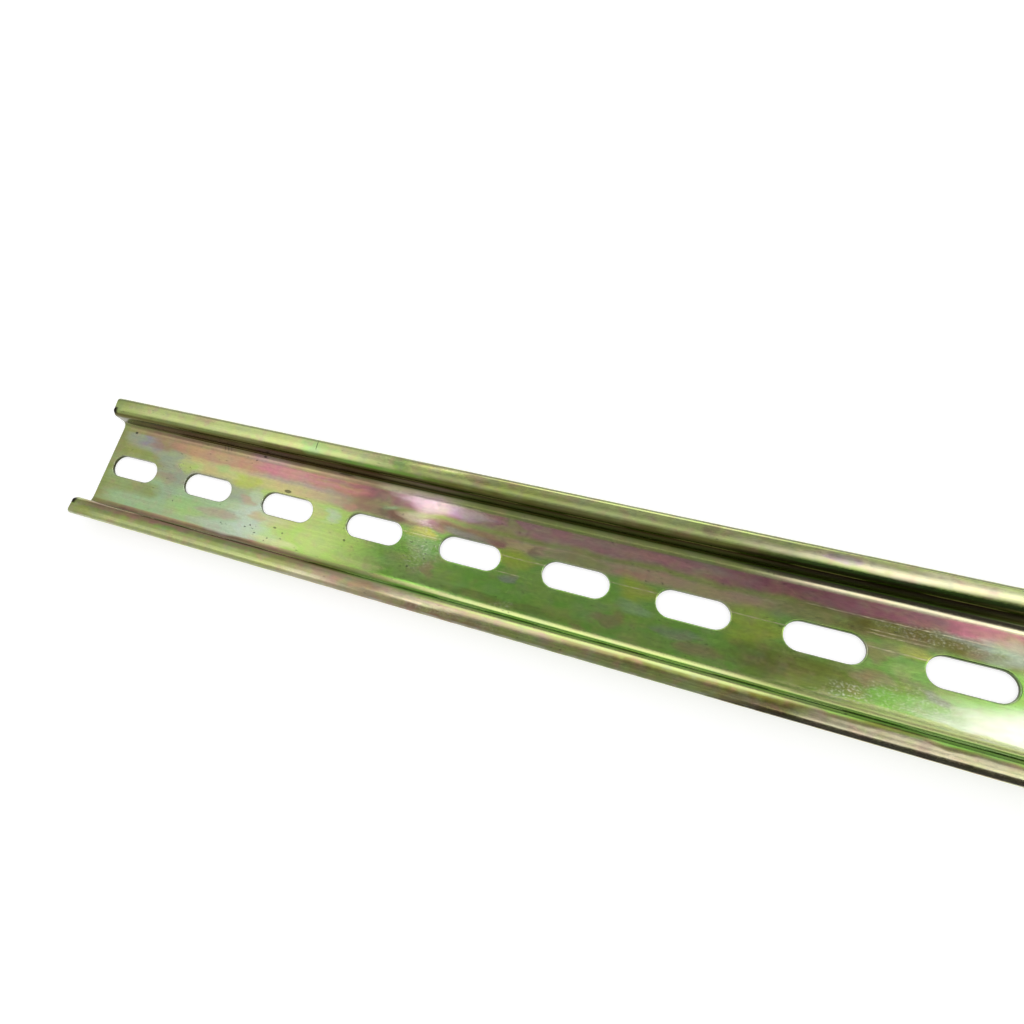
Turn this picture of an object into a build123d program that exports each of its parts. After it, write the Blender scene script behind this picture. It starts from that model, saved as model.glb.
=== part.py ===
from build123d import *
import os

# A slotted top-hat mounting rail, cold rolled from one strip of sheet steel.
# It lies as on a bench: the flat web on the ground, the open side up, the rail running along X.
# The origin is at the middle of the web's underside.

# Section
rail_width = 35.0
channel_width = 27.0
rail_height = 7.5
sheet = 1.0
inner_bend_radius = 0.8
lip_edge_rounding = 0.45

# Length, and the slots punched down the middle of the web
rail_length = 1000.0
slot_pitch = 25.0
slot_length = 15.0
slot_width = 6.2
end_to_first_slot = 9.5

# Worked out from the values above
outer_bend_radius = inner_bend_radius + sheet
wall_outside = channel_width / 2
wall_inside = wall_outside - sheet
lip_edge = rail_width / 2
lip_underside = rail_height - sheet
slot_count = int((rail_length - 2 * end_to_first_slot) / slot_pitch + 1e-6) + 1
first_slot = -rail_length / 2 + end_to_first_slot

# Half of the section's outline as corners and their radii: from the web's underside, up the
# outside of the wall, out to the lip's edge, and back over the lip and down the inside
half_outline = [
    ((wall_outside, 0), outer_bend_radius),
    ((wall_outside, lip_underside), inner_bend_radius),
    ((lip_edge, lip_underside), lip_edge_rounding),
    ((lip_edge, rail_height), lip_edge_rounding),
    ((wall_inside, rail_height), outer_bend_radius),
    ((wall_inside, sheet), inner_bend_radius),
]
other_half = [((-across, up), radius) for (across, up), radius in reversed(half_outline)]
outline = half_outline + other_half

os.makedirs("parts", exist_ok=True)

with BuildPart() as rail:
    # The section stands across Y and Z at the rail's first end and is drawn out along X
    with BuildSketch(Plane.YZ.offset(-rail_length / 2)):
        with BuildLine():
            FilletPolyline(
                [corner for corner, radius in outline],
                radius=[radius for corner, radius in outline],
                close=True,
            )
        make_face()
    extrude(amount=rail_length)

    # The row of round-ended slots
    with BuildSketch(Plane.XY):
        with Locations((first_slot, 0)):
            with GridLocations(slot_pitch, 0, slot_count, 1, align=(Align.MIN, Align.CENTER)):
                SlotOverall(slot_length, slot_width)
    extrude(amount=sheet, mode=Mode.SUBTRACT)

rail.part.label = "rail"
export_step(rail.part, "parts/rail.step")
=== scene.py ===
import math

import bmesh
import bpy
from mathutils import Matrix, Vector


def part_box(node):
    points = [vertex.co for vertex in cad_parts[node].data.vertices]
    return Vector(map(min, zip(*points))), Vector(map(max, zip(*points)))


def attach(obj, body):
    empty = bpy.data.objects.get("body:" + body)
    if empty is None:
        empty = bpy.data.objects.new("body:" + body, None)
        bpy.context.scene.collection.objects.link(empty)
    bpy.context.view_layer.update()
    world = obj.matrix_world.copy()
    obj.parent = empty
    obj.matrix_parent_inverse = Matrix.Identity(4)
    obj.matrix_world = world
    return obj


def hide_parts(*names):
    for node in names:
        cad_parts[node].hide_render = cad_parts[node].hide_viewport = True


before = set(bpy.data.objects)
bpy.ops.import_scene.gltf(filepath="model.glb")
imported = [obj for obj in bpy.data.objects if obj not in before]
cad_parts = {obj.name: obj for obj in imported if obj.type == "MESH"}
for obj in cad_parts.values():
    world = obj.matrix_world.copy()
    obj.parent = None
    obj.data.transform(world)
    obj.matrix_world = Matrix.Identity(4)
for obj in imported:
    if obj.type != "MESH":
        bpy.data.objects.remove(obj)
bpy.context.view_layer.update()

# Sizes of the rolled section and its slots, in metres
MM = 0.001
low, high = (Vector(corner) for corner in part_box("rail"))
rail_start, rail_end = low.x, high.x
lip_edge = high.y
rail_height = high.z
sheet = 1.0 * MM
wall_inside = 12.5 * MM
inner_bend = 0.8 * MM
outer_bend = inner_bend + sheet
web_flat = 9.7 * MM
slot_pitch = 25.0 * MM
slot_length = 15.0 * MM
slot_width = 6.2 * MM
first_slot = rail_start + 9.5 * MM
slot_count = 40
punch_roll_width = 0.28 * MM
punch_roll_depth = 0.16 * MM
punch_lower_ease = 0.08 * MM
cut_rounding = 0.2 * MM
lip_corner = 0.9 * MM
burr_height = 0.22 * MM

# The shapes of the far and the near side, which differ a little. At the foot the web rises gently
# before the bend tightens: where the rise starts, how far it reaches, and its slope at the end. The
# crown is the lip's slope as it leaves its bend, and the reach in which it levels out.
far_side = {
    "foot_start": 10.4 * MM,
    "foot_reach": 0.95 * MM,
    "foot_slope": 0.176,
    "crown_slope": 0.22,
    "crown_reach": 2.7 * MM,
    "lip_edge_width": 0.85 * MM,
}
near_side = {
    "foot_start": 10.0 * MM,
    "foot_reach": 1.5 * MM,
    "foot_slope": 0.25,
    "crown_slope": 0.30,
    "crown_reach": 2.4 * MM,
    "lip_edge_width": 1.2 * MM,
}

# How finely the round stretches are divided
bend_steps = 10
lip_edge_steps = 6
crown_steps = 5
foot_steps = 4
slot_end_steps = 12
slot_side_steps = 4
roll_steps = 4
cut_steps = 3
sharp_angle = 40


def lerp(a, b, t):
    return a + (b - a) * t


# The section, as pairs of an upper point and the lower point across the sheet from it


def arc_pairs(centre, upper, lower, begin, end, steps):
    """Pairs on two arcs round one centre, from one angle to the other, in degrees."""
    pairs = []
    for step in range(1, steps + 1):
        angle = math.radians(lerp(begin, end, step / steps))
        around = Vector((math.cos(angle), math.sin(angle)))
        pairs.append((centre + upper * around, centre + lower * around))
    return pairs


def half_section(foot_start, foot_reach, foot_slope, crown_slope, crown_reach, lip_edge_width):
    """One side's pairs, from the web's flat to the lip's edge, and the lip's tip on its own."""
    # The web rises gently into the bend, and then the bend tightens
    pairs = [(Vector((web_flat, sheet)), Vector((web_flat, 0)))]
    for step in range(foot_steps + 1):
        share = step / foot_steps
        y = foot_start + foot_reach * share
        pairs.append((Vector((y, sheet + foot_slope * foot_reach * share**2 / 2)), Vector((y, 0))))
    lean = math.atan(foot_slope)
    bend_start = pairs[-1][0]
    foot_bend = (wall_inside - bend_start.x) / (1 - math.sin(lean))
    upper_centre = Vector((wall_inside - foot_bend, bend_start.y + foot_bend * math.cos(lean)))
    lower_centre = Vector((wall_inside - inner_bend, outer_bend))
    for step in range(1, bend_steps + 1):
        angle = math.radians(lerp(-90 + math.degrees(lean), 0, step / bend_steps))
        lower_angle = math.radians(lerp(-90, 0, step / bend_steps))
        upper = upper_centre + foot_bend * Vector((math.cos(angle), math.sin(angle)))
        lower = lower_centre + outer_bend * Vector((math.cos(lower_angle), math.sin(lower_angle)))
        pairs.append((upper, lower))

    lean = math.atan(crown_slope)
    crown_drop = crown_slope * crown_reach / 2
    crown_start = wall_inside + outer_bend * (1 - math.sin(lean))
    shoulder_height = rail_height - crown_drop - outer_bend * math.cos(lean)
    shoulder = Vector((wall_inside + outer_bend, shoulder_height))
    for share in (0.33, 0.67, 1.0):
        upper_z = lerp(upper_centre.y, shoulder.y, share)
        lower_z = lerp(lower_centre.y, shoulder.y, share)
        pairs.append((Vector((wall_inside, upper_z)), Vector((wall_inside + sheet, lower_z))))
    pairs += arc_pairs(shoulder, outer_bend, inner_bend, 180, 90 + math.degrees(lean), bend_steps)

    # The lip rises out of the bend in a slight crown before it is flat
    for step in range(1, crown_steps + 1):
        left_over = 1 - step / crown_steps
        upper_y = crown_start + crown_reach * step / crown_steps
        upper = Vector((upper_y, rail_height - crown_drop * left_over**2))
        lean = math.atan(crown_slope * left_over)
        pairs.append((upper, upper + sheet * Vector((math.sin(lean), -math.cos(lean)))))
    flat_end = lip_edge - lip_edge_width
    pairs.append((Vector((flat_end, rail_height)), Vector((flat_end, rail_height - sheet))))
    middle = rail_height - sheet / 2
    for step in range(1, lip_edge_steps):
        angle = math.radians(90 * step / lip_edge_steps)
        y = flat_end + lip_edge_width * math.sin(angle)
        rise = sheet / 2 * math.cos(angle)
        pairs.append((Vector((y, middle + rise)), Vector((y, middle - rise))))
    tip = Vector((lip_edge, middle))
    return pairs, tip


def web_rows():
    """The web's points across, from +Y to -Y, where one slot's cell meets the next."""
    return [web_flat * share for share in (1, 0.72, 0.48, 0.24, 0, -0.24, -0.48, -0.72, -1)]


def slot_ring(centre):
    """The places round a slot, anticlockwise. Each is a point on the slot's outline, the way out of
    the slot there, and a point on the edge of the slot's cell."""
    index = round((centre - first_slot) / slot_pitch)
    left = rail_start + cut_rounding if index == 0 else centre - slot_pitch / 2
    right = rail_end - cut_rounding if index == slot_count - 1 else centre + slot_pitch / 2
    radius = slot_width / 2
    reach = slot_length / 2 - radius
    ring = []
    corner_angle = 60
    for side, edge in ((1, right), (-1, left)):
        for step in range(slot_end_steps + 1):
            angle = lerp(-90, 90, step / slot_end_steps)
            outward = Vector((math.cos(math.radians(angle)), math.sin(math.radians(angle)))) * side
            inner = Vector((centre + side * reach, 0)) + radius * outward
            if abs(angle) > corner_angle + 1:
                share = (90 - abs(angle)) / (90 - corner_angle)
                outer_x = lerp(centre + side * reach, edge, share)
                outer = Vector((outer_x, math.copysign(web_flat, angle) * side))
            else:
                row = web_rows()[round((corner_angle - angle) / (180 / slot_end_steps))]
                outer = Vector((edge, row * side))
            ring.append((inner, outward.normalized(), outer))
        for step in range(1, slot_side_steps):
            x = lerp(centre + side * reach, centre - side * reach, step / slot_side_steps)
            up = Vector((0, side))
            ring.append((Vector((x, side * radius)), up, Vector((x, side * web_flat))))
    return ring


def lip_stations():
    """Every place along X where a cell has a point on the lines at which the flat web ends."""
    stations = set()
    for index in range(slot_count):
        for *_, outer in slot_ring(first_slot + index * slot_pitch):
            if abs(abs(outer.y) - web_flat) < 1e-9:
                stations.add(round(outer.x, 9))
    return sorted(stations)


class Skin:
    """Collects faces over points that are shared wherever they lie in the same place."""

    cells_to_the_metre = 1e7

    def __init__(self):
        self.mesh = bmesh.new()
        self.points = {}

    def point(self, x, y, z):
        key = tuple(round(value * self.cells_to_the_metre) for value in (x, y, z))
        if key not in self.points:
            self.points[key] = self.mesh.verts.new((x, y, z))
        return self.points[key]

    def face(self, *corners):
        points = []
        for corner in corners:
            vertex = self.point(*corner)
            if vertex not in points:
                points.append(vertex)
        if len(points) > 2:
            self.mesh.faces.new(points)


def add_bent_sides(skin, stations):
    """The bends, walls and lips on both sides, drawn out along X."""
    for side, sizes in ((1, far_side), (-1, near_side)):
        pairs, tip = half_section(**sizes)
        uppers = [upper for upper, lower in pairs]
        lowers = [lower for upper, lower in pairs]
        outline = uppers + [tip] + lowers[::-1]
        for a, b in zip(outline, outline[1:]):
            for x0, x1 in zip(stations, stations[1:]):
                edge_a = (x0, side * a.x, a.y), (x1, side * a.x, a.y)
                edge_b = (x1, side * b.x, b.y), (x0, side * b.x, b.y)
                skin.face(*edge_a, *edge_b)


def add_web_cell(skin, centre):
    """One pitch of the web: both faces round a slot, its rolled-over upper edge and its wall."""
    ring = slot_ring(centre)
    # The slot's wall from below, as how far out of the slot and how high each of its points lies
    ease = punch_lower_ease
    profile = [(ease, 0), (ease / 4, ease / 4), (0, ease)]
    for step in range(roll_steps + 1):
        angle = math.radians(90 * step / roll_steps)
        out = punch_roll_width * (1 - math.cos(angle))
        profile.append((out, sheet - punch_roll_depth * (1 - math.sin(angle))))
    profile.append((punch_roll_width * 1.25, sheet))
    # How far towards the cell's edge each ring of flat faces reaches
    ring_shares = (0.3, 1.0)
    for (a_in, a_out, a_edge), (b_in, b_out, b_edge) in zip(ring, ring[1:] + ring[:1]):
        wall_a, wall_b = [], []
        for out, z in profile:
            pa, pb = a_in + a_out * out, b_in + b_out * out
            wall_a.append((pa.x, pa.y, z))
            wall_b.append((pb.x, pb.y, z))
        for k in range(len(profile) - 1):
            skin.face(wall_a[k], wall_b[k], wall_b[k + 1], wall_a[k + 1])
        for inner_a, inner_b, z in ((wall_a[-1], wall_b[-1], sheet), (wall_a[0], wall_b[0], 0)):
            previous_a, previous_b = inner_a, inner_b
            for share in ring_shares:
                ea = Vector(inner_a[:2]).lerp(a_edge, share)
                eb = Vector(inner_b[:2]).lerp(b_edge, share)
                next_a, next_b = (ea.x, ea.y, z), (eb.x, eb.y, z)
                skin.face(previous_a, previous_b, next_b, next_a)
                previous_a, previous_b = next_a, next_b


def add_cut_end(skin, x, direction):
    """The sawn end: its edges rounded a little, and the cut face across the sheet."""
    far_pairs, far_tip = half_section(**far_side)
    near_pairs, near_tip = half_section(**near_side)
    other_way = Vector((-1, 1))
    web = [(Vector((y, sheet)), Vector((y, 0))) for y in web_rows()[1:-1]]
    near_half = [(upper * other_way, lower * other_way) for upper, lower in near_pairs]
    whole = far_pairs[::-1] + web + near_half
    uppers = [upper for upper, lower in whole]
    lowers = [lower for upper, lower in whole]
    loop = [far_tip] + uppers + [near_tip * other_way] + lowers[::-1]
    count = len(loop)
    most_inset = sheet * 0.45
    rings = []
    for step in range(cut_steps + 1):
        angle = math.radians(90 * step / cut_steps)
        inset = cut_rounding * (1 - math.cos(angle))
        place = x + direction * cut_rounding * math.sin(angle)
        ring = []
        for k in range(count):
            along = (loop[(k + 1) % count] - loop[k - 1]).normalized()
            inward = Vector((-along.y, along.x))
            p = loop[k] + inward * min(inset, most_inset)
            ring.append((place, p.x, p.y))
        rings.append(ring)
    for first, second in zip(rings, rings[1:]):
        for k in range(count):
            n = (k + 1) % count
            skin.face(first[k], first[n], second[n], second[k])
    last = rings[-1]
    half = len(uppers)
    for k in range(half + 1):
        skin.face(last[k], last[k + 1], last[-k - 1], last[-k])


def soften_ends(mesh):
    """Rounds the lips' corners, as seen from above, and leaves a small burr on top of each bend."""
    reach = 2.4 * MM
    burr_place = Vector((wall_inside + 1.25 * MM, rail_height - 0.35 * MM))
    burr_reach = 0.8 * MM
    burr_inward, burr_upward = 0.45, 0.9
    for vertex in mesh.verts:
        for end, inward in ((rail_start, 1), (rail_end, -1)):
            depth = (vertex.co.x - end) * inward
            if depth > reach:
                continue
            side = math.copysign(1, vertex.co.y)
            across = Vector((abs(vertex.co.y), vertex.co.z))
            rise = 1 - (across - burr_place).length_squared / burr_reach**2
            if rise > 0:
                lift = burr_height * rise * (1 - depth / reach)
                vertex.co.y -= side * lift * burr_inward
                vertex.co.z += lift * burr_upward
            beyond = across.x - (lip_edge - lip_corner)
            if beyond > 0:
                set_back = lip_corner - math.sqrt(max(0, lip_corner**2 - beyond**2))
                vertex.co.x += inward * set_back * (1 - depth / reach)


def make_rail():
    """The whole rail as one closed skin."""
    skin = Skin()
    add_bent_sides(skin, lip_stations())
    for index in range(slot_count):
        add_web_cell(skin, first_slot + index * slot_pitch)
    add_cut_end(skin, rail_start + cut_rounding, -1)
    add_cut_end(skin, rail_end - cut_rounding, 1)
    bmesh.ops.recalc_face_normals(skin.mesh, faces=skin.mesh.faces)
    soften_ends(skin.mesh)
    mesh = bpy.data.meshes.new("rail_skin")
    skin.mesh.to_mesh(mesh)
    skin.mesh.free()
    mesh.shade_smooth()
    mesh.set_sharp_from_angle(angle=math.radians(sharp_angle))
    rail = bpy.data.objects.new("rail_skin", mesh)
    bpy.context.scene.collection.objects.link(rail)
    return rail


# Materials


class Nodes:
    """Short ways to add and join the nodes of one material."""

    def __init__(self, tree):
        self.tree = tree

    def add(self, kind, **settings):
        node = self.tree.nodes.new(kind)
        for name, value in settings.items():
            setattr(node, name, value)
        return node

    def put(self, socket, value):
        if isinstance(value, bpy.types.NodeSocket):
            self.tree.links.new(value, socket)
        else:
            socket.default_value = value

    def math(self, operation, *values):
        node = self.add("ShaderNodeMath", operation=operation)
        for socket, value in zip(node.inputs, values):
            self.put(socket, value)
        return node.outputs[0]

    def fade(self, value, begin, end, most=1.0):
        """0 at begin and most at end, smooth between. begin may be the larger."""
        node = self.add("ShaderNodeMapRange", interpolation_type="SMOOTHSTEP")
        self.put(node.inputs["Value"], value)
        if begin < end:
            limits = (begin, end, 0, most)
        else:
            limits = (end, begin, most, 0)
        for name, limit in zip(("From Min", "From Max", "To Min", "To Max"), limits):
            node.inputs[name].default_value = limit
        return node.outputs["Result"]

    def between(self, value, begin, end, soft):
        """1 from begin to end and 0 outside them. Each edge fades from soft before it to soft past it."""
        into = self.fade(value, begin - soft, begin + soft)
        out = self.fade(value, end + soft, end - soft)
        return self.math("MULTIPLY", into, out)

    def mix(self, factor, a, b):
        node = self.add("ShaderNodeMix", data_type="FLOAT")
        self.put(node.inputs[0], factor)
        self.put(node.inputs[2], a)
        self.put(node.inputs[3], b)
        return node.outputs[0]

    def mix_colour(self, factor, a, b):
        node = self.add("ShaderNodeMix", data_type="RGBA")
        self.put(node.inputs[0], factor)
        self.put(node.inputs[6], a)
        self.put(node.inputs[7], b)
        return node.outputs[2]

    def ramp(self, value, length, *stops):
        """A run of colours. Each stop is a place between 0 and length, and a colour."""
        node = self.add("ShaderNodeValToRGB")
        self.put(node.inputs[0], value)
        elements = node.color_ramp.elements
        node.color_ramp.interpolation = "EASE"
        while len(elements) < len(stops):
            elements.new(1.0)
        for element, (stop, colour) in zip(elements, stops):
            element.position = stop / length
            element.color = colour
        return node.outputs[0]

    def vector(self, x, y, z):
        node = self.add("ShaderNodeCombineXYZ")
        for socket, value in zip(node.inputs, (x, y, z)):
            self.put(socket, value)
        return node.outputs[0]

    def noise(self, vector, detail, roughness):
        node = self.add("ShaderNodeTexNoise")
        self.put(node.inputs["Vector"], vector)
        node.inputs["Scale"].default_value = 1.0
        node.inputs["Detail"].default_value = detail
        node.inputs["Roughness"].default_value = roughness
        return node.outputs[0]


def srgb(red, green, blue):
    """A colour written as 0 to 255 on a screen, as Blender's linear colour."""
    linear = []
    for part in (red, green, blue):
        share = part / 255
        linear.append(share / 12.92 if share <= 0.04045 else ((share + 0.055) / 1.055) ** 2.4)
    return (*linear, 1.0)


# The colours that the passivation's film takes, from thin to thick
OLIVE = srgb(160, 172, 102)
PALE = srgb(208, 219, 144)
LIME = srgb(188, 222, 118)
MINT = srgb(176, 220, 138)
GREEN = srgb(140, 194, 86)
TEAL = srgb(176, 208, 160)
MIST = srgb(168, 180, 156)
FROST = srgb(202, 218, 200)
HAZE = srgb(166, 161, 168)
ASH = srgb(192, 172, 156)
SALMON = srgb(208, 163, 134)
BLUSH = srgb(206, 148, 132)
ROSE = srgb(218, 144, 156)
PLUM = srgb(170, 112, 124)
DUSK = srgb(184, 143, 143)
PINK = srgb(236, 206, 216)
LILAC = srgb(206, 180, 202)
MOSS = srgb(196, 210, 78)
GOLD = srgb(222, 212, 106)
TAN = srgb(216, 202, 142)
BEIGE = srgb(198, 178, 146)
CREAM = srgb(234, 224, 186)
BARE = srgb(236, 238, 222)
BROWN = srgb(174, 146, 118)
OCHRE = srgb(160, 148, 100)
UMBER = srgb(134, 104, 86)
MUD = srgb(128, 124, 62)
# Near black: for real specks and dust, and also for painted shade on the far wall, in the slots' punched
# walls and at the burrs
SOOT_AND_SHADE = srgb(44, 40, 28)

# The length from the cut end that the photograph shows, in millimetres, and where along the rail
# the look that follows the photograph gives way to the rest
seen_length = 220
seen_fade = (212, 245)


class Place:
    """Where a point of the rail is, in millimetres, x from the cut end. The wavy places wobble, for
    soft and uneven edges."""

    def __init__(self, nodes):
        self.nodes = nodes
        split = nodes.add("ShaderNodeSeparateXYZ")
        nodes.put(split.inputs[0], nodes.add("ShaderNodeTexCoord").outputs["Object"])
        self.x = nodes.math("MULTIPLY_ADD", split.outputs[0], 1000, -rail_start * 1000)
        self.y = nodes.math("MULTIPLY", split.outputs[1], 1000)
        self.z = nodes.math("MULTIPLY", split.outputs[2], 1000)
        self.side = nodes.math("ABSOLUTE", self.y)
        wobble_along, wobble_across = 14, 2.4
        along = nodes.math("SUBTRACT", self.noise(0.10, 0.30, 0.30, 2, 0.5), 0.5)
        across = nodes.math("SUBTRACT", self.noise(0.13, 0.10, 0.10, 2, 0.5, 17.0), 0.5)
        self.wavy_x = nodes.math("MULTIPLY_ADD", along, wobble_along, self.x)
        self.wavy_y = nodes.math("MULTIPLY_ADD", across, wobble_across, self.y)
        self.flat = nodes.vector(self.x, self.y, 0)
        self.wavy = nodes.vector(self.wavy_x, self.wavy_y, 0)
        # 1 past the stretch that the photograph shows, and on the underside
        underneath = nodes.fade(self.z, 0.6, 0.4)
        self.unseen = nodes.math("MAXIMUM", nodes.fade(self.x, *seen_fade), underneath)

    def noise(self, along, across, up, detail=2, roughness=0.5, shift=0.0):
        """Noise with that many waves to the millimetre each way."""
        nodes = self.nodes
        vector = nodes.vector(
            nodes.math("MULTIPLY_ADD", self.x, along, shift),
            nodes.math("MULTIPLY_ADD", self.y, across, shift),
            nodes.math("MULTIPLY", self.z, up),
        )
        return nodes.noise(vector, detail, roughness)

    def spot(self, at_x, at_y, half_x, half_y, most=1.0, wavy=True):
        """A soft patch with a wavy edge, or a small speck with a plain one, as strong as most."""
        nodes = self.nodes
        offset = nodes.add("ShaderNodeVectorMath", operation="MULTIPLY_ADD")
        nodes.put(offset.inputs[0], self.wavy if wavy else self.flat)
        offset.inputs[1].default_value = (1 / half_x, 1 / half_y, 0)
        offset.inputs[2].default_value = (-at_x / half_x, -at_y / half_y, 0)
        square = nodes.add("ShaderNodeVectorMath", operation="DOT_PRODUCT")
        nodes.put(square.inputs[0], offset.outputs[0])
        nodes.put(square.inputs[1], offset.outputs[0])
        inside, outside = (0.0, 2.0) if wavy else (0.5, 1.3)
        return nodes.fade(square.outputs["Value"], outside, inside, most)


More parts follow.
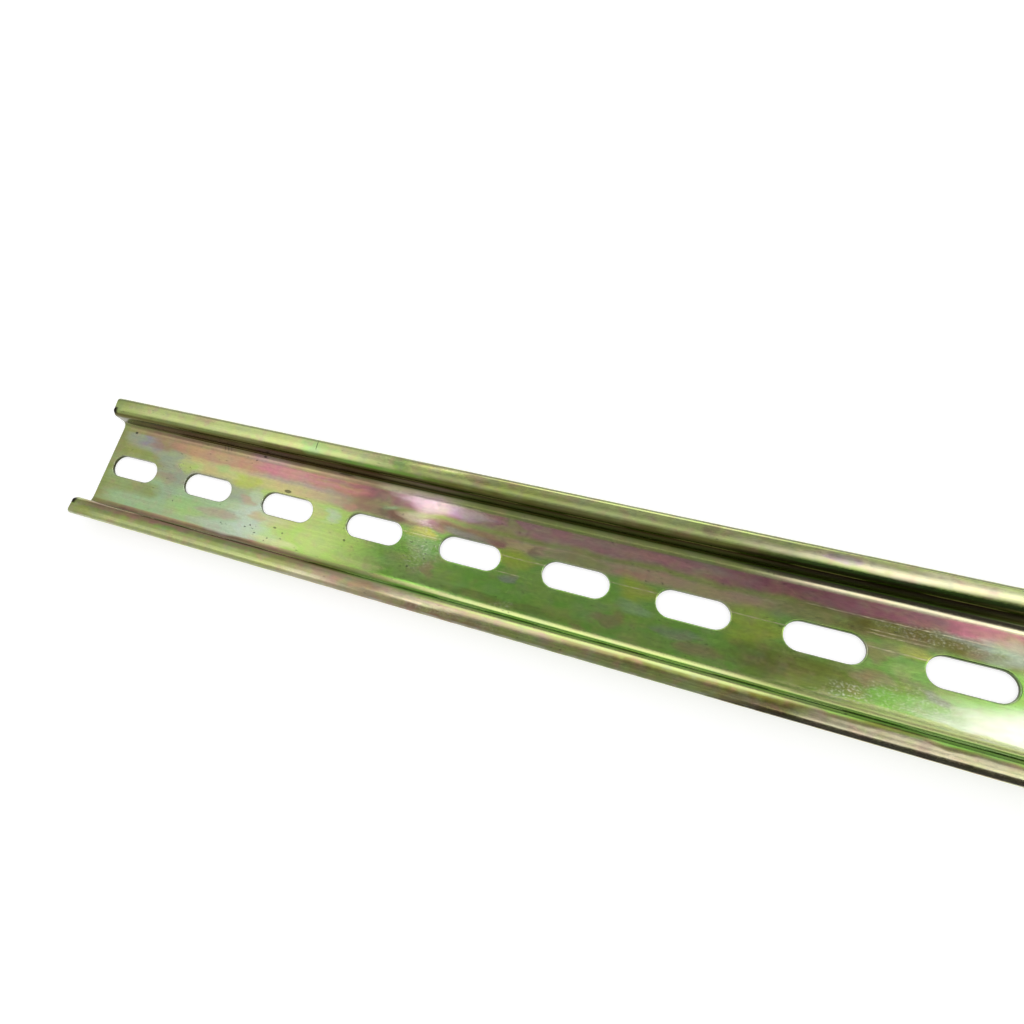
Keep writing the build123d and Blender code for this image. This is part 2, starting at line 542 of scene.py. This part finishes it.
def film_colour(nodes, place):
    """Bands and clouds of colour in the passivation."""
    # Along the seen stretch each band's colours follow X, and past it slow clouds run through them
    slow = nodes.fade(place.noise(0.012, 0.05, 0.05, 2, 0.5, 5.0), 0.3, 0.7, 0.42)
    run = nodes.mix(place.unseen, nodes.math("MULTIPLY", place.wavy_x, 1 / seen_length), slow)

    def run_of(*stops):
        return nodes.ramp(run, seen_length, *stops)

    # Each band's colours, with the millimetres from the cut end at which they stand
    lower = run_of(
        (0, OLIVE), (9, TEAL), (40, TEAL), (50, FROST), (62, LIME), (80, LIME), (92, GREEN)
    )
    middle = run_of(
        (0, OLIVE), (14, OLIVE), (20, MIST), (44, MIST), (54, LIME), (78, LIME), (92, GREEN)
    )
    above = run_of(
        (0, OLIVE), (12, OLIVE), (18, MIST), (28, PALE), (33, TAN), (42, PALE), (49, TAN), (62, TAN),
        (70, BEIGE), (78, BROWN), (112, BROWN), (121, BEIGE), (170, BEIGE), (180, OLIVE), (190, MUD),
        (207, MUD), (216, MIST)
    )
    high = run_of(
        (0, OLIVE), (12, MIST), (22, TAN), (40, TAN), (50, ASH), (66, ASH), (80, BROWN), (92, OLIVE),
        (176, OLIVE), (188, MUD), (199, MUD), (212, MIST)
    )
    upper = run_of(
        (0, OLIVE), (5, MIST), (11, HAZE), (17, BROWN), (26, SALMON), (44, SALMON), (52, ROSE),
        (62, ROSE), (68, BLUSH), (75, BLUSH), (82, PLUM), (106, PLUM), (117, DUSK), (156, DUSK),
        (174, PLUM), (202, PLUM), (210, ROSE)
    )
    far_foot = run_of(
        (0, OLIVE), (15, BROWN), (36, BROWN), (48, DUSK), (60, BROWN), (80, BROWN), (93, CREAM),
        (110, OLIVE), (160, OLIVE), (186, CREAM)
    )
    far_shoulder = run_of(
        (0, OLIVE), (34, OLIVE), (60, MUD), (80, GREEN), (108, MUD), (166, MUD), (182, GREEN)
    )
    far_lip = run_of((0, OLIVE), (16, PALE))
    near_foot = run_of(
        (0, OLIVE), (14, BROWN), (30, BROWN), (40, UMBER), (48, UMBER), (60, BROWN), (70, OLIVE),
        (84, OLIVE), (98, PALE)
    )
    near_bend = run_of(
        (0, OLIVE), (9, BROWN), (62, BROWN), (76, MUD), (96, GREEN)
    )
    near_shoulder = run_of(
        (0, OLIVE), (9, BROWN), (34, BROWN), (46, OLIVE), (62, OLIVE), (84, BEIGE), (104, PALE),
        (174, PALE), (188, GREEN)
    )
    near_lip = run_of(
        (0, OLIVE), (60, OLIVE), (82, BEIGE), (130, BEIGE), (140, OCHRE), (152, MUD), (180, MUD),
        (190, CREAM)
    )
    near_edge = run_of(
        (0, OLIVE), (18, PALE), (62, PALE), (74, CREAM), (92, BEIGE), (108, BROWN), (126, OLIVE),
        (160, OLIVE), (172, OCHRE), (179, OCHRE), (188, CREAM)
    )

    # Across the web, with wavy edges: from and to where each band takes over from the one before
    colour = lower
    web = [
        (middle, -2.8, -0.6),
        (above, 2.2, 4.2),
        (high, 5.4, 6.6),
        (upper, 6.4, 8.0),
    ]
    for band, begin, end in web:
        colour = nodes.mix_colour(nodes.fade(place.wavy_y, begin, end), colour, band)

    # Thinner, paler film towards the seen stretch's near right corner
    colour = nodes.mix_colour(place.spot(222, -8.5, 17, 4.6, 1.0), colour, BARE)

    # Up both sides, with straight edges
    sides = [
        (far_foot, 10.0, 10.7),
        (far_shoulder, 11.8, 12.6),
        (far_lip, 13.6, 14.3),
        (near_foot, -10.3, -10.9),
        (near_bend, -11.3, -11.7),
        (near_shoulder, -13.2, -13.7),
        (near_lip, -14.1, -14.6),
        (near_edge, -15.3, -15.8),
    ]
    for band, begin, end in sides:
        colour = nodes.mix_colour(nodes.fade(place.y, begin, end), colour, band)
    bands = colour

    # Patches on the stretch that the photograph shows: the colour, the middle along and across,
    # half the size along and across, and how strong it is
    patches = [
        # web, up to the third slot
        (OLIVE, 5, 4.6, 6, 1.8, 0.8),
        (OLIVE, 8, -5.0, 8, 2.2, 0.8),
        (OLIVE, 17, -4.8, 4, 2.0, 0.9),
        (MIST, 19, 6.2, 4, 1.8, 0.8),
        (BROWN, 22, -0.6, 2.2, 1.6, 0.45),
        (MIST, 21, 4.6, 2.6, 2.0, 0.6),
        (LIME, 25.6, 3.6, 1.8, 1.5, 0.7),
        (MIST, 24, -3.5, 4, 3.0, 0.5),
        (MINT, 31, -6.4, 4.6, 2.4, 0.8),
        (BLUSH, 31, 8.8, 3, 1.4, 0.4),
        (MINT, 37, 6.4, 2.4, 1.2, 0.5),
        (ASH, 41, -6.0, 5, 1.4, 0.8),
        (FROST, 44, -9.4, 9, 1.6, 0.7),
        (MOSS, 44, 4.0, 3.6, 1.8, 0.7),
        (ROSE, 46, -0.8, 1.6, 1.4, 0.4),
        (FROST, 49.4, -0.8, 2.2, 3.0, 0.8),
        (SALMON, 52.5, -4.6, 2, 1.2, 0.5),
        (TAN, 67, 1.0, 2.4, 2.2, 0.5),
        (TAN, 58, -4.5, 5, 1.8, 0.4),
        (CREAM, 60, -9.8, 5, 0.9, 0.5),
        (ROSE, 61, 9.7, 12, 0.5, 0.6),
        (PLUM, 73, 9.6, 7, 0.5, 0.6),
        (ROSE, 68, 8.2, 9, 0.5, 0.5),
        (FROST, 72, 0.4, 2.4, 1.8, 0.7),
        (PALE, 71, -6.6, 5, 3.0, 0.5),
        (PALE, 86, -9.4, 5, 0.9, 0.6),
        (BLUSH, 74.6, 4.2, 1.8, 1.2, 0.7),
        # web, from the fourth slot to the eighth
        (BROWN, 83, 6.8, 6, 0.9, 0.4),
        (TEAL, 87.5, 6.2, 1.8, 0.8, 0.7),
        (UMBER, 89, 4.6, 4, 1.5, 0.85),
        (PINK, 97, 9.4, 7, 2.2, 1.0),
        (LILAC, 106, 9.0, 5, 1.4, 0.7),
        (OLIVE, 115.5, 9.0, 2.2, 1.8, 0.7),
        (CREAM, 95.5, 5.8, 4, 1.4, 0.6),
        (PINK, 99, 4.6, 3, 0.9, 0.6),
        (GOLD, 96, 2.2, 3, 1.3, 0.8),
        (TEAL, 96.5, -1.6, 3, 2.6, 0.4),
        (OLIVE, 99, -6.0, 8, 3.4, 0.5),
        (PLUM, 101, 4.2, 2.4, 1.2, 0.8),
        (UMBER, 106, 4.6, 4, 1.2, 0.7),
        (BROWN, 101.8, -6.0, 2, 1.8, 0.5),
        (HAZE, 109, 4.0, 5, 0.9, 0.6),
        (UMBER, 126.5, 4.0, 1.6, 1.4, 0.6),
        (OLIVE, 135, 4.6, 6, 1.2, 0.7),
        (PLUM, 116, 3.8, 2.2, 1.0, 0.8),
        (LIME, 118.5, -9.6, 2, 0.9, 0.4),
        (HAZE, 119.4, -3.8, 2, 1.0, 0.6),
        (MOSS, 121.5, 1.4, 4.2, 2.4, 0.7),
        (TAN, 122.5, 4.8, 4, 0.8, 0.6),
        (BROWN, 137, -10.2, 2.6, 0.6, 0.5),
        (BROWN, 143.5, -6.2, 2.4, 2.0, 0.6),
        (BLUSH, 146, 3.9, 4, 1.0, 0.5),
        (MOSS, 147, 1.2, 4.4, 2.4, 0.7),
        (TEAL, 147, -2.8, 4, 1.4, 0.6),
        (ROSE, 149, 8.8, 8, 0.9, 0.3),
        (HAZE, 156.5, -6.0, 4, 1.2, 0.4),
        (MIST, 160, 9.2, 3, 1.2, 0.25),
        (BROWN, 163, -8.2, 4, 1.3, 0.6),
        (MOSS, 171.5, -0.2, 5.8, 3.8, 0.75),
        (MUD, 181, -6.6, 12, 3.6, 0.8),
        (MUD, 196, -4.8, 10, 1.6, 0.45),
        (MUD, 118, -9.4, 18, 1.0, 0.4),
        (PALE, 198, -10.2, 22, 0.5, 0.8),
        # web, round the ninth slot
        (BROWN, 194, -5.0, 2.4, 1.8, 0.6),
        (BROWN, 193, 0.6, 2.0, 2.2, 0.6),
        (GOLD, 198, 2.2, 3.4, 1.2, 0.7),
        (LIME, 199, -1.8, 3, 1.4, 0.5),
        (HAZE, 203.5, -5.6, 2.4, 0.9, 0.6),
        (MINT, 207.5, -4.8, 2.4, 0.9, 0.6),
        (ROSE, 210, 9.2, 6, 1.3, 0.7),
        (FROST, 215, 6.6, 4, 2.4, 0.7),
        # far lip
        (BEIGE, 30.5, 16.6, 4, 0.9, 0.6),
        (MUD, 106, 16.6, 16, 0.7, 0.5),
        (MINT, 65.5, 15.6, 3.6, 1.8, 0.8),
        (GREEN, 88.5, 15.6, 3, 1.6, 0.7),
        (BROWN, 107, 15.6, 3.4, 1.2, 0.6),
        (CREAM, 103, 17.2, 10, 0.5, 0.3),
        (MOSS, 118, 15.2, 12, 1.0, 0.4),
        (PLUM, 159, 15.8, 2, 1.4, 0.6),
        (CREAM, 169, 15.0, 4, 0.8, 0.5),
        (CREAM, 196, 15.1, 24, 1.1, 1.0),
        (LILAC, 184.5, 15.1, 2.2, 0.8, 0.7),
        # near lip
        (GREEN, 33, -14.5, 5, 0.6, 0.7),
        (SALMON, 89, -14.8, 5, 0.8, 0.6),
        (CREAM, 95, -14.8, 5, 0.8, 0.6),
        (UMBER, 14, -12.8, 10, 0.8, 0.8),
        (CREAM, 103, -15.2, 9, 0.7, 0.6),
        (MUD, 152, -15.4, 7, 0.9, 0.5),
        (MUD, 198, -14.3, 22, 0.45, 0.8),
    ]
    for over, at_x, at_y, half_x, half_y, most in patches:
        colour = nodes.mix_colour(place.spot(at_x, at_y, half_x, half_y, most), colour, over)
    colour = nodes.mix_colour(place.unseen, colour, bands)

    # The same kinds of cloud, at random, over the rest and faintly over the seen stretch
    amount = nodes.mix(place.unseen, 0.12, 0.55)
    for over, shift in ((TEAL, 11.0), (MIST, 23.0), (LIME, 37.0), (SALMON, 53.0), (GOLD, 71.0)):
        cloud = nodes.fade(place.noise(0.09, 0.17, 0.17, 2, 0.5, shift), 0.5, 0.7)
        colour = nodes.mix_colour(nodes.math("MULTIPLY", cloud, amount), colour, over)

    # Fine mottling, stronger on the lips
    mottle = nodes.math("MULTIPLY_ADD", nodes.fade(place.side, 13.7, 14.2), 0.15, 0.15)
    for over, shift in ((ROSE, 5.0), (LIME, 19.0), (MIST, 29.0)):
        fleck = nodes.fade(place.noise(0.3, 0.4, 0.4, 2, 0.5, shift), 0.45, 0.75)
        colour = nodes.mix_colour(nodes.math("MULTIPLY", fleck, mottle), colour, over)
    return colour


def add_marks(nodes, place, colour):
    """Rubbed lines, painted glints of bright speckle, and dark specks where the photograph shows them."""
    # Rubbed lines: from and to along, the place across and half the width
    broken = nodes.fade(place.noise(0.5, 3.0, 3.0, 3, 0.6, 3.0), 0.42, 0.58)
    breaks = nodes.math("MULTIPLY_ADD", broken, 0.5, 0.2)
    on_top = nodes.fade(place.z, 0.8, 0.95)
    rubbed = [
        (91, 103, 1.4, 0.10),
        (115, 128, 1.4, 0.14),
        (117, 122, -2.5, 0.12),
        (142, 152, 1.4, 0.12),
        (165, 178, 1.4, 0.12),
        (190, 203, 1.4, 0.14),
        (192, 202, 4.8, 0.12),
        (192, 202, 4.1, 0.16),
        (180, 212, 7.0, 0.08),
    ]
    for begin, end, at_y, half in rubbed:
        off = nodes.math("ABSOLUTE", nodes.math("SUBTRACT", place.y, at_y))
        line = nodes.math("MULTIPLY", nodes.fade(off, half * 1.6, half * 0.4), breaks)
        line = nodes.math("MULTIPLY", line, nodes.between(place.x, begin, end, 1.5))
        colour = nodes.mix_colour(nodes.math("MULTIPLY", line, on_top), colour, CREAM)

    # Fields of painted glints, pale speckle where the highlights break up: the middle along and across,
    # half the size both ways, the strength
    glint_speckle = nodes.fade(place.noise(2.0, 2.8, 2.8, 2, 0.5, 7.0), 0.45, 0.78)
    glint_fields = [
        (188, -8.4, 5, 2.0, 0.6),
        (201, -7.5, 9, 3.0, 0.3),
        (204, 6.0, 10, 1.6, 0.4),
        (98, -2, 4.0, 6, 0.5),
        (118.5, -9.4, 2, 1.2, 0.4),
        (108, -16.2, 14, 0.6, 0.4),
    ]
    for at_x, at_y, half_x, half_y, strength in glint_fields:
        glint_field = nodes.math("MULTIPLY", place.spot(at_x, at_y, half_x, half_y, strength), glint_speckle)
        colour = nodes.mix_colour(glint_field, colour, BARE)

    # Dark specks and short scratches, in the same form
    specks = [
        (5.0, 10.4, 0.5, 0.35, 0.8),
        (58.2, 4.1, 1.1, 0.45, 0.7),
        (48.2, 11.8, 0.5, 0.3, 0.7),
        (72.5, 11.9, 2.2, 0.2, 0.6),
        (78.0, -4.6, 0.4, 0.3, 0.6),
        (58.4, -6.0, 0.5, 0.25, 0.6),
        (61.0, -6.9, 0.3, 0.25, 0.5),
        (35.3, 11.8, 0.14, 0.9, 0.5),
        (36.3, 11.8, 0.14, 0.9, 0.5),
        (37.3, 11.8, 0.12, 0.7, 0.5),
        (65.2, 15.8, 0.14, 1.2, 0.6),
    ]
    for at_x, at_y, half_x, half_y, strength in specks:
        colour = nodes.mix_colour(place.spot(at_x, at_y, half_x, half_y, strength, False), colour, SOOT_AND_SHADE)

    # Fine dark dust all over, thickest at three places
    dust = nodes.fade(place.noise(1.1, 1.6, 1.6, 1, 0.5, 31.0), 0.70, 0.78)
    dusty = nodes.fade(place.noise(0.05, 0.15, 0.15, 1, 0.5, 43.0), 0.42, 0.6, 0.5)
    for at_x, at_y, half_x, half_y in ((50, -8.5, 14, 2.4), (24, -3.0, 8, 5.0), (96, -4.0, 5, 5.0)):
        dusty = nodes.math("MAXIMUM", dusty, place.spot(at_x, at_y, half_x, half_y, 0.9))
    return nodes.mix_colour(nodes.math("MULTIPLY", dust, dusty), colour, SOOT_AND_SHADE)


def passivated_zinc():
    """Bright zinc under a yellow, iridescent passivation, with the strip's rolling lines along X."""
    material = bpy.data.materials.new("zinc_yellow")
    material.use_nodes = True
    tree = material.node_tree
    nodes = Nodes(tree)
    shader = tree.nodes["Principled BSDF"]
    place = Place(nodes)
    colour = film_colour(nodes, place)

    # Painted shade: inside the far wall the colour is darkened to dark olive above its foot and half way
    # to near black all over, standing in for the dark that the wall mirrors; the punched walls of the
    # slots are painted nearly black, also as painted shade
    wall = nodes.math("MULTIPLY", nodes.fade(place.y, 11.5, 12.2), nodes.fade(place.y, 13.5, 12.9))
    colour = nodes.mix_colour(nodes.math("MULTIPLY", wall, nodes.fade(place.z, 1.4, 2.2)), colour, MUD)
    colour = nodes.mix_colour(nodes.math("MULTIPLY", wall, 0.5), colour, SOOT_AND_SHADE)
    near_slots = nodes.fade(place.side, 4.5, 4.0)
    # Painted shade: the slots' punched walls, below their rolled rims, are darkened nearly black for the
    # shade inside the slots
    punched_shade = nodes.math("MULTIPLY", near_slots, nodes.between(place.z, 0.03, 0.84, 0.03))
    colour = nodes.mix_colour(nodes.math("MULTIPLY", punched_shade, 0.9), colour, SOOT_AND_SHADE)
    colour = add_marks(nodes, place, colour)

    # Worn edges: the slots' rims and the lips' outer edges are rubbed bright
    worn = nodes.fade(place.noise(0.3, 0.9, 0.9, 3, 0.6, 13.0), 0.4, 0.62)
    rim = nodes.math("MULTIPLY", near_slots, nodes.between(place.z, 0.9, 0.985, 0.02))
    edge = nodes.math("MULTIPLY", nodes.fade(place.side, 16.9, 17.2), nodes.fade(place.z, 6.9, 7.1))
    rubbed = nodes.math("MULTIPLY_ADD", worn, 0.4, 0.15)
    rubbed = nodes.math("MULTIPLY", rubbed, nodes.math("MAXIMUM", rim, edge))
    colour = nodes.mix_colour(rubbed, colour, BARE)

    # Painted shade: at the cut end, the tops of the bends where the burrs stand are darkened nearly
    # black, for the shade under the burrs
    burr_shade = nodes.math("MULTIPLY", nodes.fade(place.x, 1.6, 0.7), nodes.fade(place.z, 6.4, 6.8))
    burr_shade = nodes.math("MULTIPLY", burr_shade, nodes.between(place.side, 12.9, 14.6, 0.25))
    colour = nodes.mix_colour(burr_shade, colour, SOOT_AND_SHADE)

    # Rolling lines along X: long and thin, in tone, gloss and relief
    lines = place.noise(0.012, 2.2, 2.2, 4, 0.65)
    grain = place.noise(0.9, 1.8, 1.8, 3, 0.6)
    tone = nodes.math("MULTIPLY_ADD", lines, 0.26, nodes.math("MULTIPLY_ADD", grain, 0.24, 0.75))
    shade = nodes.add("ShaderNodeVectorMath", operation="SCALE")
    nodes.put(shade.inputs[0], colour)
    nodes.put(shade.inputs["Scale"], tone)
    nodes.put(shader.inputs["Base Color"], shade.outputs[0])

    nodes.put(shader.inputs["Roughness"], nodes.math("MULTIPLY_ADD", grain, 0.12, 0.12))
    shader.inputs["Metallic"].default_value = 1.0
    shader.inputs["Anisotropic"].default_value = 0.4
    shader.inputs["Anisotropic Rotation"].default_value = 0.25
    nodes.put(shader.inputs["Tangent"], nodes.vector(1.0, 0.0, 0.0))
    bump = nodes.add("ShaderNodeBump")
    bump.inputs["Strength"].default_value = 0.4
    bump.inputs["Distance"].default_value = 0.01 * MM
    nodes.put(bump.inputs["Height"], nodes.math("MULTIPLY_ADD", grain, 0.5, lines))
    nodes.put(shader.inputs["Normal"], bump.outputs[0])
    return material


# Studio


def new_plane(name, corners):
    mesh = bpy.data.meshes.new(name)
    mesh.from_pydata(corners, [], [(0, 1, 2, 3)])
    plane = bpy.data.objects.new(name, mesh)
    bpy.context.scene.collection.objects.link(plane)
    material = bpy.data.materials.new(name)
    material.use_nodes = True
    material.node_tree.nodes.clear()
    mesh.materials.append(material)
    return plane, Nodes(material.node_tree)


def sample_less(material):
    """Lets this wide, even light be found by the rays that meet it, which is quicker."""
    material.cycles.emission_sampling = "NONE"


def background_rays(nodes):
    """1 for the rays that show the background: seen straight, in a gloss or through glass."""
    path = nodes.add("ShaderNodeLightPath")
    seen = nodes.math("MAXIMUM", path.outputs["Is Camera Ray"], path.outputs["Is Glossy Ray"])
    return nodes.math("MAXIMUM", seen, path.outputs["Is Transmission Ray"])


def make_floor():
    """A plain pale floor that shows nearly white and keeps the rail's soft shadow."""
    half = 6.0
    depth = -0.02 * MM
    grey, glow_strength = 0.55, 0.75
    plan = [(-half, -half), (half, -half), (half, half), (-half, half)]
    _, nodes = new_plane("floor", [(x, y, depth) for x, y in plan])
    paper = nodes.add("ShaderNodeBsdfDiffuse")
    paper.inputs["Color"].default_value = (grey, grey, grey, 1)
    glow = nodes.add("ShaderNodeEmission")
    nodes.put(glow.inputs["Strength"], nodes.math("MULTIPLY", background_rays(nodes), glow_strength))
    both = nodes.add("ShaderNodeAddShader")
    nodes.put(both.inputs[0], paper.outputs[0])
    nodes.put(both.inputs[1], glow.outputs[0])
    output = nodes.add("ShaderNodeOutputMaterial")
    nodes.put(output.inputs["Surface"], both.outputs[0])


# In metres
ceiling_height = 2.0
camera_place = Vector((rail_start + 0.15194, -0.03433, 0.15532))


def mirrored(x, lean):
    """The ceiling point that the camera sees mirrored in the web at x millimetres. lean is how far
    the mirrored ray leans across the rail for each metre that it rises."""
    point = Vector((rail_start + x * MM, 0, sheet))
    away = point - camera_place
    share = (ceiling_height - point.z) / -away.z
    return point.x + away.x * share, lean * ceiling_height


def make_ceiling():
    """One large lit ceiling, with soft boxes where the photograph's metal shows them."""
    half_x, half_y = 6.0, 4.0
    plan = [(-half_x, -half_y), (-half_x, half_y), (half_x, half_y), (half_x, -half_y)]
    ceiling, nodes = new_plane("ceiling", [(x, y, ceiling_height) for x, y in plan])
    split = nodes.add("ShaderNodeSeparateXYZ")
    nodes.put(split.inputs[0], nodes.add("ShaderNodeTexCoord").outputs["Object"])
    x, y = split.outputs[0], split.outputs[1]

    # Each box: from and to in millimetres along the rail, from and to in lean, its softness along
    # and across, and its strength
    level = 0.24
    far_left, far_right = -300, 600
    boxes = [
        # left half of the room, brightest near its end and dimmer far past the rail
        (far_left, 81, -2.0, 0.42, 0.12, 0.10, 0.44),
        (far_left, 81, 0.42, 2.0, 0.12, 0.10, 0.20),
        (48, 80, -0.1, 0.245, 0.20, 0.05, 0.36),
        (12, 78, 0.32, 0.60, 0.25, 0.05, 0.42),
        (10, 78, -0.30, 0.11, 0.25, 0.04, 0.30),
        # the bar mirrored in the upper half of the web
        (93, 102, 0.262, 0.36, 0.05, 0.02, 3.8),
        (92, 99, 0.225, 0.262, 0.08, 0.03, 0.15),
        (106, 172, 0.185, 0.30, 0.12, 0.03, 0.11),
        (110, 172, 0.20, 0.245, 0.12, 0.03, 0.06),
        # strip lamps along the rail, mirrored in the lips and in the foot of the far wall
        (62, 104, -0.02, 0.11, 0.22, 0.03, 0.20),
        (100, 176, -0.04, 0.05, 0.20, 0.015, 0.65),
        # bright window to the right
        (177, far_right, -0.07, 0.10, 0.12, 0.02, 1.40),
        (184, far_right, 0.10, 0.150, 0.14, 0.02, 1.60),
        (198, far_right, 0.158, 0.182, 0.10, 0.02, 1.2),
        (209, far_right, 0.145, 0.190, 0.08, 0.02, 2.6),
        (212, far_right, 0.19, 0.31, 0.08, 0.02, 0.40),
        (192, far_right, 0.31, 0.47, 0.14, 0.02, 0.9),
        (178, far_right, 0.68, 1.00, 0.10, 0.03, 0.9),
        (186, 207, -0.24, -0.07, 0.12, 0.03, 1.0),
        # soft box past the far lip
        (94, 130, 0.40, 0.92, 0.10, 0.03, 1.25),
        (130, 178, 0.46, 1.05, 0.10, 0.03, 1.25),
    ]
    for low_x, high_x, low_lean, high_lean, soft_x, soft_y, strength in boxes:
        low_point, high_point = mirrored(low_x, low_lean), mirrored(high_x, high_lean)
        along = nodes.between(x, low_point[0], high_point[0], soft_x)
        aside = nodes.between(y, low_point[1], high_point[1], soft_y)
        level = nodes.math("MULTIPLY_ADD", nodes.math("MULTIPLY", along, aside), strength, level)
    light = nodes.add("ShaderNodeEmission")
    nodes.put(light.inputs["Strength"], level)
    output = nodes.add("ShaderNodeOutputMaterial")
    nodes.put(output.inputs["Surface"], light.outputs[0])
    sample_less(ceiling.active_material)
    ceiling.visible_camera = False


def make_dark_card(name, corners, strength):
    """A dark card beside the rail, seen only in the metal."""
    card, nodes = new_plane(name, corners)
    dim = nodes.add("ShaderNodeEmission")
    dim.inputs["Strength"].default_value = strength
    output = nodes.add("ShaderNodeOutputMaterial")
    nodes.put(output.inputs["Surface"], dim.outputs[0])
    sample_less(card.active_material)
    card.visible_camera = False
    card.visible_diffuse = False
    card.visible_shadow = False


def make_dark_cards():
    """What stands dark round the camera."""
    foot, height, far = 0.004, 0.19, -0.5
    # Each card, in metres: from and to along X from the cut end, where its inner edge is at both
    # along Y, and its level
    cards = [
        ("far_left", -0.26, -0.155, -0.30, -0.012, 0.45),
        ("left", -0.155, -0.07, -0.012, -0.012, 0.45),
        ("middle", -0.07, 0.04, -0.012, -0.012, 0.45),
        ("right", 0.04, 0.197, -0.012, -0.012, 0.36),
        ("far_right", 0.197, 0.24, -0.012, -0.012, 0.06),
        ("corner", 0.24, 0.28, -0.012, 0.009, 0.045),
        ("farthest_right", 0.28, 0.42, 0.009, 0.009, 0.045),
    ]
    for name, begin, end, inner_begin, inner_end, strength in cards:
        x0, x1 = rail_start + begin, rail_start + end
        outer_edge = [(x1, far, height), (x0, far, height)]
        over = [(x0, inner_begin, height), (x1, inner_end, height)] + outer_edge
        beside = [(x0, far, foot), (x1, far, foot)] + outer_edge
        make_dark_card("dark_card_above_" + name, over, strength)
        make_dark_card("dark_card_beside_" + name, beside, strength)
    back, top, reach = 1.6, 0.9, 4.0
    wall = [(-reach, back, foot), (reach, back, foot), (reach, back, top), (-reach, back, top)]
    make_dark_card("dim_back_wall", wall, 0.42)


def make_world():
    """A pale room, which lights the rail at half the strength at which it shows."""
    world = bpy.data.worlds.new("studio")
    bpy.context.scene.world = world
    world.use_nodes = True
    tree = world.node_tree
    tree.nodes.clear()
    nodes = Nodes(tree)
    sky = nodes.add("ShaderNodeBackground")
    lights_at, shows_at = 0.5, 1.0
    nodes.put(sky.inputs["Strength"], nodes.mix(background_rays(nodes), lights_at, shows_at))
    output = nodes.add("ShaderNodeOutputWorld")
    nodes.put(output.inputs["Surface"], sky.outputs[0])


def make_camera():
    """The photograph's view: close above the rail's first quarter metre, from its near side."""
    data = bpy.data.cameras.new("camera")
    camera = bpy.data.objects.new("camera", data)
    bpy.context.scene.collection.objects.link(camera)
    bpy.context.scene.camera = camera
    picture = 1024
    focal_pixels = 698.6
    centre_x, centre_y = 425.0, 520.0
    data.sensor_width = 36.0
    data.lens = focal_pixels / picture * data.sensor_width
    data.shift_x = (picture / 2 - centre_x) / picture
    data.shift_y = (centre_y - picture / 2) / picture
    data.clip_start = 0.005
    azimuth, tilt, roll = (math.radians(degrees) for degrees in (54.502, 23.813, -38.567))
    turned = Matrix.Rotation(azimuth, 4, "Z") @ Matrix.Rotation(tilt, 4, "X")
    turned = turned @ Matrix.Rotation(roll, 4, "Z")
    camera.matrix_world = Matrix.Translation(camera_place) @ turned


make_world()
make_floor()
make_ceiling()
make_dark_cards()
make_camera()

rail = make_rail()
rail.data.materials.append(passivated_zinc())
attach(rail, "root")
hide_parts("rail")

bpy.context.scene.view_settings.view_transform = "Standard"
